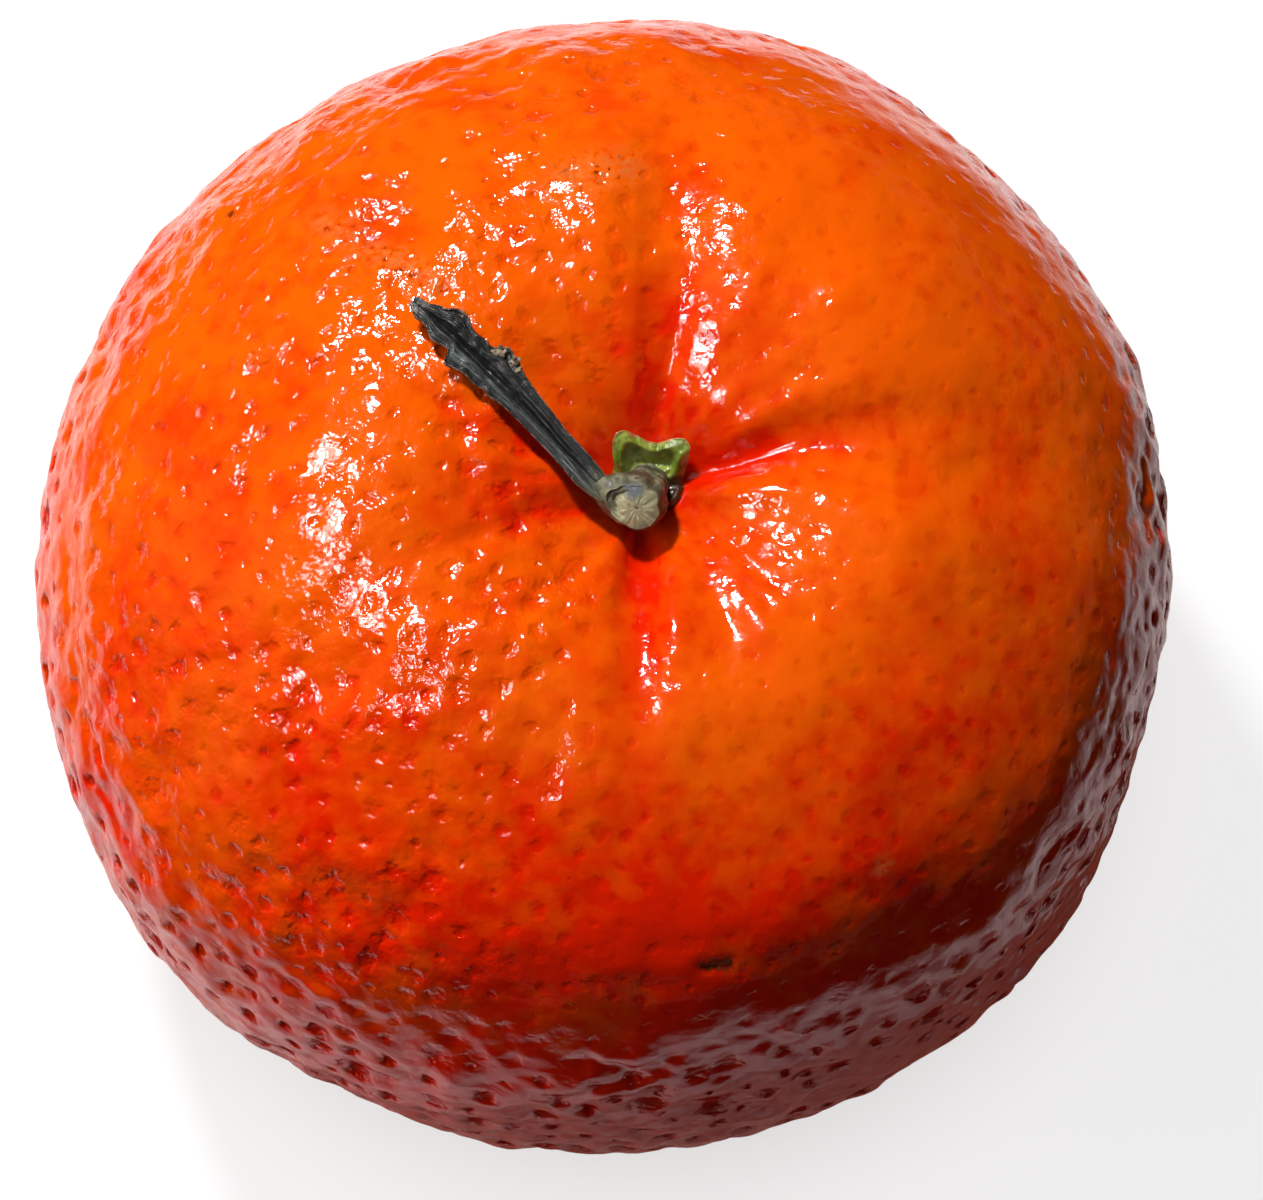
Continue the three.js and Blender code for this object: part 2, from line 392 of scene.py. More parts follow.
def rind_points(directions):
    """Smooth rind, without its texture, at unit directions from the middle of the fruit."""
    cosine = directions[:, 2]
    sine = np.sqrt(np.maximum(0, 1 - cosine**2))
    around = np.arctan2(directions[:, 1], directions[:, 0])
    reach = FRUIT_RADIUS * signed_power(sine, 2 / PROFILE_POWER)
    rise = HALF_HEIGHT * signed_power(cosine, 2 / PROFILE_POWER)
    out = reach + shoulder_height(around) * sine**2
    hollow = hollow_depth(around, reach)
    lean = np.maximum(0, cosine) ** CAVITY_LEAN_POWER
    z = MID_HEIGHT + rise - np.where(rise > 0, hollow, 0)
    return np.stack(
        [
            out * np.cos(around) + CAVITY[0] * lean,
            out * np.sin(around) + CAVITY[1] * lean,
            np.maximum(z, 0),
        ],
        axis=1,
    )


def rind_height(x, y):
    """Height of the smooth rind over a point in the stem cavity."""
    out = np.hypot(x - CAVITY[0], y - CAVITY[1])
    around = np.arctan2(y - CAVITY[1], x - CAVITY[0])
    dome = HALF_HEIGHT * (1 - (out / FRUIT_RADIUS) ** PROFILE_POWER) ** (1 / PROFILE_POWER)
    return MID_HEIGHT + dome - hollow_depth(around, out)




# ---- Mesh helpers --------------------------------------------------------


def mesh_object(name, points, faces):
    """A smooth-shaded object from points in the part's millimetres, put in the frame's place."""
    mesh = bpy.data.meshes.new(name)
    mesh.from_pydata(((points + FRAME_SHIFT) * MM).tolist(), [], faces)
    form = bmesh.new()
    form.from_mesh(mesh)
    bmesh.ops.recalc_face_normals(form, faces=form.faces)
    form.to_mesh(mesh)
    form.free()
    mesh.polygons.foreach_set("use_smooth", [True] * len(mesh.polygons))
    obj = bpy.data.objects.new(name, mesh)
    bpy.context.scene.collection.objects.link(obj)
    return obj


def tube_faces(rows, sides):
    """Quads between closed loops, with one face over each end."""
    faces = []
    for row in range(rows - 1):
        for side in range(sides):
            a, b = row * sides + side, row * sides + (side + 1) % sides
            faces.append((a, b, b + sides, a + sides))
    faces.append(tuple(range(sides))[::-1])
    faces.append(tuple(range((rows - 1) * sides, rows * sides)))
    return faces


def add_attribute(mesh, name, values, domain="POINT"):
    kind = "FLOAT_VECTOR" if values.ndim == 2 else "FLOAT"
    key = "vector" if values.ndim == 2 else "value"
    layer = mesh.attributes.new(name, kind, domain)
    layer.data.foreach_set(key, values.astype(np.float32).ravel())


def icosphere(subdivisions):
    form = bmesh.new()
    bmesh.ops.create_icosphere(form, subdivisions=subdivisions, radius=1)
    form.verts.ensure_lookup_table()
    points = unit(np.array([v.co[:] for v in form.verts]))
    faces = np.array([[v.index for v in f.verts] for f in form.faces])
    form.free()
    return points, faces


def vertex_normals(points, faces):
    corners = points[faces]
    flat = np.cross(corners[:, 1] - corners[:, 0], corners[:, 2] - corners[:, 0])
    normals = np.zeros_like(points)
    for corner in range(3):
        np.add.at(normals, faces[:, corner], flat)
    return unit(normals)


# ---- Places on the rind --------------------------------------------------

Place = namedtuple("Place", "offset distance around")
Zones = namedtuple("Zones", "on_top near_stem lively flank")


def from_cavity(rest):
    """Where each rind point is, as seen from the stem cavity's axis."""
    offset = rest[:, :2] - CAVITY
    distance = np.hypot(offset[:, 0], offset[:, 1])
    return Place(offset, distance, np.arctan2(offset[:, 1], offset[:, 0]))


def rind_zones(rest, normals, place):
    """How much each rind point belongs to each zone of the rind, from 0 to 1."""
    on_top = smooth(rest[:, 2], MID_HEIGHT, MID_HEIGHT + TOP_FADE)
    flank = 1 - smooth(normals[:, 2], *FLANK_SLOPE)
    near_stem = on_top * bell(place.distance / NEAR_STEM_REACH)
    facing = smooth(np.cos(place.around - math.radians(LIVELY_TOWARD)), *LIVELY_FACING)
    least, patches = LIVELY_PATCHINESS
    patchy = least + patches * smooth(layered(rest, LIVELY_PATCHES), *LIVELY_PATCH_EDGES)
    lively = facing * smooth(place.distance, *LIVELY_START) * (1 - flank) * patchy
    return Zones(on_top, near_stem, lively, flank)


def by_zone(zones, near_stem, lively, flank):
    """1, and what three zones of the rind add to it."""
    return 1 + near_stem * zones.near_stem + lively * zones.lively + flank * zones.flank


# ---- Oil-gland pits ------------------------------------------------------


def scatter_pits(points, spacing):
    """Picks rind points so that no two are nearer than their spacing."""
    cell = spacing.max()
    kept, grid = [], {}
    order = np.random.default_rng(PIT_SEED).permutation(len(points))
    keys = np.floor(points / cell).astype(int)
    near = [(i, j, k) for i in (-1, 0, 1) for j in (-1, 0, 1) for k in (-1, 0, 1)]
    for index in order:
        x, y, z = keys[index]
        here = points[index]
        neighbours = (n for i, j, k in near for n in grid.get((x + i, y + j, z + k), ()))
        room = spacing[index] ** 2
        if all(((points[n] - here) ** 2).sum() > room for n in neighbours):
            grid.setdefault((x, y, z), []).append(index)
            kept.append(index)
    return np.array(kept)


def nearest(tree, points):
    return np.array([tree.find(p)[1] for p in points])


def build_tree(points):
    tree = kdtree.KDTree(len(points))
    for index, point in enumerate(points):
        tree.insert(point, index)
    tree.balance()
    return tree


def pit_spacing(rest, zones):
    return PIT_SPACING * (by_zone(zones, **PIT_LOOSER) + layered(rest, PIT_UNEVEN_SPACING))


def pit_radius(rest, zones):
    variety = 1 + PIT_UNEVEN_ON_FLANK * zones.flank
    uneven = np.maximum(PIT_SMALLEST, 1 + variety * layered(rest, PIT_UNEVEN_SIZE))
    return PIT_RADIUS * uneven * by_zone(zones, **PIT_LARGER)


def pit_depth(zones):
    everywhere, lively, flank = PIT_DEEPER
    return PIT_DEPTH * (everywhere + lively * zones.lively + flank * zones.flank**2)


def pit_stretch(normals, place, zones):
    """Which way each pit is drawn out, along the rind and away from the stem, and how much."""
    outward = np.zeros_like(normals)
    outward[:, :2] = unit(place.offset)
    outward = unit(outward - normals * (outward * normals).sum(1, keepdims=True))
    squeeze = PIT_SQUEEZE * zones.on_top * bell(place.distance / PIT_SQUEEZE_REACH)
    return outward * np.sqrt(squeeze)[:, None]


def pit_wells(rest, owner, stretch, radius):
    """How deep each rind point lies in its own pit, from 0 at the edge to 1 in the middle."""
    away = rest - rest[owner]
    away -= stretch[owner] * (away * stretch[owner]).sum(1, keepdims=True)
    reach = np.linalg.norm(away, axis=1) / radius[owner]
    return np.maximum(0, 1 - reach**2) ** 2


# ---- Fruit ---------------------------------------------------------------


def blemish_masks(points):
    """How much of a dry scuff and of a dark scar each rind point has, from 0 to 1."""
    masks = [np.zeros(len(points)), np.zeros(len(points))]
    for start, end, width, dark in BLEMISHES:
        start, along = np.array(start), np.subtract(end, start)
        from_start = points[:, :2] - start
        share = np.clip((from_start @ along) / (along @ along), 0, 1)
        away = np.linalg.norm(from_start - share[:, None] * along, axis=1)
        masks[dark] = np.maximum(masks[dark], bell(away / width) * (points[:, 2] > MID_HEIGHT))
    underneath = points[:, 2] < 1
    from_middle = np.hypot(points[:, 0], points[:, 1])
    masks[1] = np.maximum(masks[1], underneath * bell(from_middle / STYLAR_SCAR_RADIUS))
    return masks


def rind_redness(rest, place, zones):
    # Painted shade: the rind is made redder in the creases on top
    painted_crease_shade = crease_depth(place.around, place.distance) * zones.on_top
    # Painted shade: redder on the side away from the key light, out towards the edge
    painted_shade_side = lobe(place.around, SHADE_SIDE_TOWARD, SHADE_SIDE_SPREAD)
    painted_shade_side *= smooth(place.distance, *SHADE_SIDE_START) * smooth(rest[:, 2], *SHADE_SIDE_FOOT)
    parts = {**zones._asdict(), "painted_crease_shade": painted_crease_shade, "painted_shade_side": painted_shade_side}
    return sum(share * parts[name] for name, share in REDNESS.items())


def trough_pattern(rest, flank):
    """1 in the short dents that run in rows round the flank."""
    stretched = rest * (1, 1, TROUGH_FLATTEN)
    line = layered(stretched, TROUGH_LINES) + layered(rest, TROUGH_RAGGED)
    troughs = bell(line / TROUGH_WIDTH)
    gaps = smooth(layered(rest, TROUGH_GAPS), *TROUGH_GAP_EDGES)
    return troughs * (gaps * bell((flank - TROUGH_FLANK) / TROUGH_FLANK_SPREAD))


def stem_ribs(place, on_top):
    """The fine ribs that fan out from the stem cavity, in mm."""
    direction = unit(place.offset)
    ribs = sum(
        height * ripple(np.column_stack([direction * closeness, place.distance / length]), 1, seed)
        for height, closeness, length, seed in RIBS
    )
    return ribs * (smooth(place.distance, *RIB_START) * bell(place.distance / RIB_REACH) * on_top)


def rind_height_map(rest, place, zones):
    """Swells, wrinkles and ribs of the rind, in mm, leaving out its pits."""
    lobes = swell_height(place.around, place.distance) * zones.on_top + layered(rest, UNEVEN)
    calm = layered(rest, CALM)
    wrinkles = layered(rest, WRINKLES) - TROUGH_DEPTH * trough_pattern(rest, zones.flank)
    textured = calm + (layered(rest, PEBBLES) - calm) * zones.lively + wrinkles * zones.flank
    return (lobes + textured + stem_ribs(place, zones.on_top)) * smooth(rest[:, 2], *FOOT_FADE)


def make_fruit():
    directions, faces = icosphere(RIND_SUBDIVISIONS)
    rest = rind_points(directions)
    normals = vertex_normals(rest, faces)
    place = from_cavity(rest)
    zones = rind_zones(rest, normals, place)

    pits = scatter_pits(rest, pit_spacing(rest, zones))
    stretch = pit_stretch(normals, place, zones)
    radius = pit_radius(rest, zones)
    tree = build_tree(rest[pits])
    well = pit_wells(rest, pits[nearest(tree, rest)], stretch, radius)
    face_owner = pits[nearest(tree, rest[faces].mean(axis=1))]
    scuff, scar = blemish_masks(rest)

    height = rind_height_map(rest, place, zones)
    height -= (pit_depth(zones) * well + SCAR_DEPTH * scar) * smooth(rest[:, 2], *FOOT_FADE)
    points = rest + normals * height[:, None]
    points[:, 2] = np.maximum(points[:, 2], 0)

    fruit = mesh_object("mandarin_rind", points, faces.tolist())
    mesh = fruit.data
    add_attribute(mesh, "rind_co", rest * MM)
    add_attribute(mesh, "redness", rind_redness(rest, place, zones))
    add_attribute(mesh, "lively", zones.lively)
    add_attribute(mesh, "flank", zones.flank)
    add_attribute(mesh, "scuff", scuff)
    add_attribute(mesh, "scar", scar)
    add_attribute(mesh, "pit_centre", rest[face_owner] * MM, "FACE")
    add_attribute(mesh, "pit_axis", stretch[face_owner], "FACE")
    add_attribute(mesh, "pit_size", radius[face_owner] * MM, "FACE")
    return fruit


# ---- Calyx ---------------------------------------------------------------


def behind_stem(around):
    """1 behind the stem, where the sepals are long and curl up, and 0 in front of it."""
    return smooth(np.sin(around), 0, 0.6)


def sepal_wave(around):
    """1 along the middle of each sepal and 0 between two of them."""
    return sum(lobe(around, toward, SEPAL_SPREAD) for toward in SEPALS)


def calyx_surface(around, outward, lift):
    wave = sepal_wave(around)
    length = (SEPAL_TIP_RADIUS - SEPAL_NOTCH_RADIUS) * behind_stem(around)
    out = (SEPAL_NOTCH_RADIUS + length * wave) * outward
    x = CAVITY[0] + out * np.cos(around)
    y = CAVITY[1] + out * np.sin(around)
    horn = HORN_RISE * behind_stem(around) * outward**HORN_POWER * (0.8 + 0.2 * wave)
    return np.stack([x, y, rind_height(x, y) + horn + lift], axis=-1)


def calyx_rows(around):
    """The calyx's rings of points from its middle out and back underneath, and how far out."""
    rows, reaches = [], []
    for outward in np.linspace(0.05, 1, CALYX_ROWS):
        edge = CALYX_EDGE * (1 - smooth(outward, 0.86, 1.0))
        ledge = sum(
            height * bell((outward - reach) / CALYX_LEDGE_WIDTH) for height, reach in CALYX_LEDGES
        )
        lift = CALYX_LIFT + edge + ledge * behind_stem(around)
        rows.append(calyx_surface(around, outward, lift))
        reaches.append(outward)
    for outward, lift in CALYX_UNDERSIDE:
        rows.append(calyx_surface(around, outward, lift))
        reaches.append(outward)
    return np.array(rows), np.array(reaches)


def make_calyx():
    around = np.linspace(0, 2 * math.pi, CALYX_SIDES, endpoint=False)
    points, reaches = calyx_rows(around)
    circle = np.column_stack([np.cos(around), np.sin(around), np.zeros(CALYX_SIDES)])
    fluting = layered(circle * CALYX_FLUTES, CALYX_FLUTING)
    wobble = np.array([layered(row, CALYX_WOBBLE) for row in points])
    points[..., 2] += (wobble + fluting) * reaches[:, None]
    flat_points = points.reshape(-1, 3)
    calyx = mesh_object("calyx_green", flat_points, tube_faces(len(points), CALYX_SIDES))
    rim = reaches[:, None] * behind_stem(around)
    add_attribute(calyx.data, "rim", rim.ravel())
    add_attribute(calyx.data, "piece_co", flat_points * MM)
    return calyx


# ---- Stem stub -----------------------------------------------------------


def frame_along(direction):
    """Two unit directions square to this one."""
    side = unit(np.cross((0, 1, 0), direction))
    return side, np.cross(direction, side)


def stub_side(foot, spokes, circle, toward_stalk):
    """The stub's rings from its foot to the edge of the cut, and how much of each is cut wood."""
    rows, cut = [], []
    for part in np.linspace(0, 1, STUB_ROWS):
        radius = STUB_FOOT_RADIUS + (STUB_RADIUS - STUB_FOOT_RADIUS) * smooth(part, *STUB_SWELL)
        rounding = STUB_EDGE_ROUNDING * smooth(part, 0.86, 1.0)
        droop = 1 - KNUCKLE_DROOP * smooth(part, 0.8, 1.0)
        knuckle = KNUCKLE_REACH * toward_stalk * smooth(part, *KNUCKLE_RISE) * droop
        reach = radius + knuckle - rounding
        ring = foot + (STUB_TOP - foot) * part + spokes * reach[:, None]
        grain = np.column_stack([circle * 2.2, np.full(STUB_SIDES, part)])
        bark = layered(grain, STUB_GRAIN) + layered(ring, STUB_BARK)
        rows.append(ring + spokes * bark[:, None])
        cut.append(smooth(part, 0.93, 1.0) * (1 - 0.7 * toward_stalk))
    return rows, cut


def stub_face(edge, lean, circle, toward_stalk):
    """The rings of the cut from its edge to its middle, and how much of each is cut wood."""
    rows, cut = [], []
    for share in np.linspace(0.97, 0.02, CUT_ROWS):
        ring = STUB_TOP + edge * share
        spokes = np.column_stack([circle * 4, np.full(STUB_SIDES, share)])
        groove = bell((share - 0.72) / 0.06) * toward_stalk
        height = layered(spokes, CUT_FIBRES) * share + layered(ring, CUT_LUMPS)
        height -= CUT_GROOVE * groove
        pith = CUT_PITH * bell(share / 0.08)
        height += CUT_DOME * (1 - share**2) - pith - CUT_SLOPE * toward_stalk * share**2
        rows.append(ring + lean * height[:, None])
        cut.append(1 - 0.7 * toward_stalk * smooth(share, 0.6, 0.8))
    return rows, cut


def make_stub():
    foot = np.array([*CAVITY, rind_height(*CAVITY) + STUB_FOOT_LIFT])
    lean = unit(STUB_TOP - foot)
    across, up_page = frame_along(lean)
    around = np.linspace(0, 2 * math.pi, STUB_SIDES, endpoint=False)
    spokes = np.cos(around)[:, None] * across + np.sin(around)[:, None] * up_page
    toward_stalk = lobe(around, KNUCKLE_TOWARD, KNUCKLE_SPREAD)
    circle = np.column_stack([np.cos(around), np.sin(around)])
    rows, cut = stub_side(foot, spokes, circle, toward_stalk)
    face_rows, face_cut = stub_face(rows[-1] - STUB_TOP, lean, circle, toward_stalk)
    points = np.array(rows + face_rows).reshape(-1, 3)
    faces = tube_faces(STUB_ROWS + CUT_ROWS, STUB_SIDES)
    stub = mesh_object("stem_stub_cut", points, faces)
    from_axis = points - STUB_TOP
    face_place = np.column_stack([from_axis @ across, from_axis @ up_page, from_axis @ lean])
    add_attribute(stub.data, "cut", np.concatenate(cut + face_cut))
    add_attribute(stub.data, "face_place", face_place * MM)
    add_attribute(stub.data, "piece_co", points * MM)
    return stub


# ---- Leaf stalk ----------------------------------------------------------


def stalk_centre(along):
    bend = STALK_BASE + (STALK_TIP - STALK_BASE) * STALK_BOW_PLACE + STALK_BOW
    return (1 - along) ** 2 * STALK_BASE + 2 * along * (1 - along) * bend + along**2 * STALK_TIP


def across_stalk(along):
    heading = unit(stalk_centre(along + 0.01) - stalk_centre(along - 0.01))
    return unit(np.array([heading[1], -heading[0], 0]))


def stalk_width(outline, along, closeness, row, seed):
    """Half the stalk's width on one side, torn along its far half."""
    torn = STALK_TORN * smooth(along, 0.5, 0.62) * (1 - smooth(along, 0.93, 1))
    tear = float(ripple(np.array([[along * closeness, row, 0]]), 1, seed)[0])
    return np.interp(along, *zip(*outline)) + torn * tear


def stalk_row(along, places):
    """One cross-section's top edge: two ridges beside a middle groove, with thin wings outside."""
    left = stalk_width(STALK_LEFT, along, 14, 3, 41)
    right = stalk_width(STALK_RIGHT, along, 17, 9, 42)
    side = np.where(places < 0, left, right) * places
    size = np.abs(places)
    ridges = STALK_RIDGE * bell((size - 0.42) / 0.26)
    groove = STALK_GROOVE * bell(places / 0.13)
    curl = STALK_CURL * size**2
    fade = smooth(along, 0.0, 0.2)
    height = 0.2 + (ridges + curl) * (0.5 + 0.5 * fade) - groove * (0.3 + 0.7 * fade)
    height = height * (1 - 0.45 * smooth(along, 0.85, 1))
    row = stalk_centre(along) + across_stalk(along) * side[:, None]
    row[:, 2] += height
    return row


def stalk_loop(along, places):
    """One closed cross-section, over the top and back underneath."""
    top = stalk_row(along, places)
    wing, middle = STALK_THICKNESS
    thickness = wing + middle * bell(places / 0.6)
    under = top[::-1].copy()
    under[:, 2] -= thickness[::-1]
    loop = np.vstack([top, under])
    both_sides = np.concatenate([places, places[::-1]])
    strands = np.column_stack([both_sides * 7, np.full((len(loop), 2), along * 4)])
    rough = layered(loop, STALK_ROUGH) * smooth(along, 0.4, 0.7)
    loop[:, 2] += layered(strands, STALK_STRANDS) + rough
    return loop


def nearly_closed(loop):
    """The loop drawn in to almost a point, to end the stalk with."""
    middle = loop.mean(axis=0)
    return middle + (loop - middle) * 0.02


def make_stalk():
    places = np.linspace(-1, 1, STALK_PLACES)
    steps = np.linspace(0, 1, STALK_STEPS)
    rows = [stalk_loop(along, places) for along in steps]
    rows = [nearly_closed(rows[0]), *rows, nearly_closed(rows[-1])]
    points = np.array(rows).reshape(-1, 3)
    sides = 2 * STALK_PLACES
    stalk = mesh_object("leaf_stalk_dried", points, tube_faces(len(rows), sides))
    along_all = np.repeat([steps[0], *steps, steps[-1]], sides)
    place_all = np.tile(np.concatenate([places, places[::-1]]), len(rows))
    add_attribute(stalk.data, "along", along_all)
    add_attribute(stalk.data, "place", place_all)
    add_attribute(stalk.data, "piece_co", points * MM)
    return stalk


def make_crumbs():
    """Dry bits of torn leaf that cling to the stalk's edge."""
    form, faces = icosphere(CRUMB_SUBDIVISIONS)
    lump_height, wavelength, seed = CRUMB_LUMPS
    points, triangles = [], []
    for number, (along, side, size) in enumerate(CRUMBS):
        middle = stalk_centre(along) + across_stalk(along) * side + (0, 0, CRUMB_LIFT)
        lumpy = 1 + lump_height * ripple(form, wavelength, seed + number)
        triangles += (faces + len(form) * number).tolist()
        points.append(middle + form * lumpy[:, None] * size * CRUMB_FLATTEN)
    points = np.vstack(points)
    crumbs = mesh_object("stalk_crumbs", points, triangles)
    add_attribute(crumbs.data, "piece_co", points * MM)
    return crumbs


# ---- Node helpers --------------------------------------------------------


class Shader:
    """A material's nodes, written as one step after another."""

    def __init__(self, name):
        self.material = bpy.data.materials.new(name)
        self.material.use_nodes = True
        self.tree = self.material.node_tree
        self.surface = self.tree.nodes["Principled BSDF"]

    def feed(self, socket, value):
        """Links a socket, or sets it to a number, a vector or the name of a colour."""
        if isinstance(value, bpy.types.NodeSocket):
            self.tree.links.new(value, socket)
        else:
            socket.default_value = screen_colour(value) if isinstance(value, str) else value

    def set(self, **inputs):
        for name, value in inputs.items():
            self.feed(self.surface.inputs[name.replace("_", " ")], value)

    def attribute(self, name, output="Fac"):
        node = self.tree.nodes.new("ShaderNodeAttribute")
        node.attribute_name = name
        return node.outputs[output]

    def place(self):
        """Coordinates on the object itself, in metres."""
        return self.tree.nodes.new("ShaderNodeTexCoord").outputs["Object"]

    def calc(self, operation, *values):
        node = self.tree.nodes.new("ShaderNodeMath")
        node.operation = operation
        for socket, value in zip(node.inputs, values):
            self.feed(socket, value)
        return node.outputs[0]

    def plus(self, first, second):
        return self.calc("ADD", first, second)

    def times(self, first, second):
        return self.calc("MULTIPLY", first, second)

    def vector(self, operation, *values):
        node = self.tree.nodes.new("ShaderNodeVectorMath")
        node.operation = operation
        for index, value in enumerate(values):
            is_factor = operation == "SCALE" and index == 1
            self.feed(node.inputs["Scale" if is_factor else index], value)
        single = operation in ("DOT_PRODUCT", "LENGTH", "DISTANCE")
        return node.outputs["Value" if single else "Vector"]

    def noise(self, where, wavelength_mm, detail):
        """Noise from 0 to 1 with swells about a wavelength apart."""
        node = self.tree.nodes.new("ShaderNodeTexNoise")
        self.feed(node.inputs["Vector"], where)
        node.inputs["Scale"].default_value = 1 / (wavelength_mm * MM)
        node.inputs["Detail"].default_value = detail
        return node.outputs["Fac"]

    def between(self, value, low, high, to_low=0.0, to_high=1.0):
        """A smooth ramp from to_low, where the value is low, to to_high, where it is high."""
        node = self.tree.nodes.new("ShaderNodeMapRange")
        node.interpolation_type = "SMOOTHSTEP"
        sockets = ("Value", "From Min", "From Max", "To Min", "To Max")
        for name, number in zip(sockets, (value, low, high, to_low, to_high)):
            self.feed(node.inputs[name], number)
        return node.outputs["Result"]

    def mix(self, factor, first, second, blend="MIX"):
        node = self.tree.nodes.new("ShaderNodeMix")
        node.data_type = "RGBA"
        node.blend_type = blend
        self.feed(node.inputs["Factor"], factor)
        self.feed(node.inputs[6], first)
        self.feed(node.inputs[7], second)
        return node.outputs[2]

    def bump(self, height_mm):
        """Relief in the surface, and in the coat over it."""
        node = self.tree.nodes.new("ShaderNodeBump")
        node.inputs["Strength"].default_value = 1.0
        node.inputs["Distance"].default_value = MM
        self.feed(node.inputs["Height"], height_mm)
        self.feed(self.surface.inputs["Normal"], node.outputs["Normal"])
        self.feed(self.surface.inputs["Coat Normal"], node.outputs["Normal"])


# ---- Materials -----------------------------------------------------------


def pit_reach(s, where):
    """How far a point is from the middle of its pit: 0 there, about 1 at the pit's edge."""
    away = s.vector("SUBTRACT", where, s.attribute("pit_centre", "Vector"))
    axis = s.attribute("pit_axis", "Vector")
    along = s.vector("SCALE", axis, s.vector("DOT_PRODUCT", away, axis))
    away = s.vector("SUBTRACT", away, along)
    reach = s.calc("DIVIDE", s.vector("LENGTH", away), s.attribute("pit_size"))
    return s.plus(reach, s.between(s.noise(where, 0.7, 2), 0.3, 0.7, -0.35, 0.35))


def skin_colour(s, where, mottle, reach, painted_pit_shade):
    """Orange to red, mottled, redder round each oil gland, with painted shade darkening the deep
    pits.
    """
    gland = s.between(reach, 0.1, 1.0, 1.0, 0.0)
    redness = s.plus(s.attribute("redness"), s.between(mottle, 0.35, 0.7, -0.2, 0.3))
    fine_mottle = s.between(s.noise(where, 1.3, 3), 0.35, 0.65, -0.12, 0.18)
    redness = s.plus(redness, fine_mottle)
    redness = s.plus(redness, s.times(gland, 0.2))
    redness = s.calc("MAXIMUM", s.calc("MINIMUM", redness, 1.0), 0.0)
    skin = s.mix(redness, "rind_orange", "rind_red")
    return s.mix(painted_pit_shade, skin, "painted_pit_shade")


def blemished(s, skin, specks, scarred):
    """The skin with its dry scuffs and its dark scars."""
    scuffed = s.times(s.attribute("scuff"), s.between(specks, 0.4, 0.6))
    skin = s.mix(s.times(scuffed, 0.4), skin, "scuff")
    crumbs = s.times(s.attribute("scuff"), s.between(specks, 0.4, 0.34))
    skin = s.mix(s.times(crumbs, 0.8), skin, "scuff_crumb")
    scar = s.mix(s.between(specks, 0.4, 0.6), "scar_dark", "scar_pale")
    return s.mix(scarred, skin, scar)


def rind_relief(s, where, reach, well, pitted, flank, lively):
    """Dimples, wells, lumps and grain too fine for the mesh, in mm."""
    dimple_depth = s.plus(s.times(lively, -0.075), -0.025)
    dimple = s.times(s.between(reach, 0.0, 1.0, 1.0, 0.0), dimple_depth)
    height = s.plus(dimple, s.times(well, s.times(pitted, -0.12)))
    textured = s.calc("MAXIMUM", lively, s.times(flank, 0.6))
    lumps = s.plus(s.times(textured, 0.1), 0.045)
    height = s.plus(height, s.times(s.noise(where, 0.9, 2), lumps))
    patch = s.between(s.noise(where, 4.5, 2), 0.45, 0.6, 0.008, 0.022)
    grit = s.plus(s.times(textured, patch), 0.004)
    return s.plus(height, s.times(s.noise(where, 0.28, 2), grit))


def rind_material():
    s = Shader("rind")
    where = s.attribute("rind_co", "Vector")
    flank, lively = s.attribute("flank"), s.attribute("lively")
    mottle = s.noise(where, 6.0, 3)
    reach = pit_reach(s, where)
    well = s.between(reach, 0.0, 0.72, 1.0, 0.0)
    pitted = s.between(flank, 0.4, 1.0)
    # Painted shade in the pits, strongest down the flank
    painted_pit_shade = s.times(well, s.between(pitted, 0.0, 1.0, 0.03, 0.45))
    specks = s.noise(where, 0.4, 3)
    ragged = s.plus(s.attribute("scar"), s.between(specks, 0.3, 0.7, -0.3, 0.3))
    scarred = s.between(ragged, 0.4, 0.9)

    skin = skin_colour(s, where, mottle, reach, painted_pit_shade)
    s.bump(rind_relief(s, where, reach, well, pitted, flank, lively))
    waxless = s.times(flank, s.between(well, 0.0, 1.0, 0.25, 0.9))
    s.set(
        Base_Color=blemished(s, skin, specks, scarred),
        Roughness=s.plus(s.between(mottle, 0.3, 0.7, 0.42, 0.55), s.times(scarred, 0.3)),
        Coat_Weight=s.calc("SUBTRACT", 0.95, waxless),
        Coat_Roughness=0.1,
        Coat_IOR=1.45,
        Specular_IOR_Level=0.0,
    )
    return s.material


def calyx_material():
    s = Shader("calyx_green")
    where = s.attribute("piece_co", "Vector")
    patches = s.noise(where, 1.1, 3)
    grit = s.noise(where, 0.3, 3)
    green = s.mix(s.between(patches, 0.35, 0.65), "sepal_deep", "sepal_pale")
    green = s.mix(s.between(grit, 0.5, 0.75, 0.0, 0.5), green, "sepal_speck")
    ragged_rim = s.plus(s.attribute("rim"), s.between(grit, 0.3, 0.7, -0.05, 0.05))
    rim = s.between(ragged_rim, 0.93, 0.99)
    green = s.mix(s.times(rim, 0.8), green, "sepal_rim")
    green = s.mix(s.between(s.attribute("rim"), 0.1, 0.35, 1.0, 0.0), green, "sepal_foot")
    s.bump(s.plus(s.times(grit, 0.05), s.times(patches, 0.1)))
    s.set(Base_Color=green, Roughness=0.35, Coat_Weight=0.6, Coat_Roughness=0.12)
    return s.material


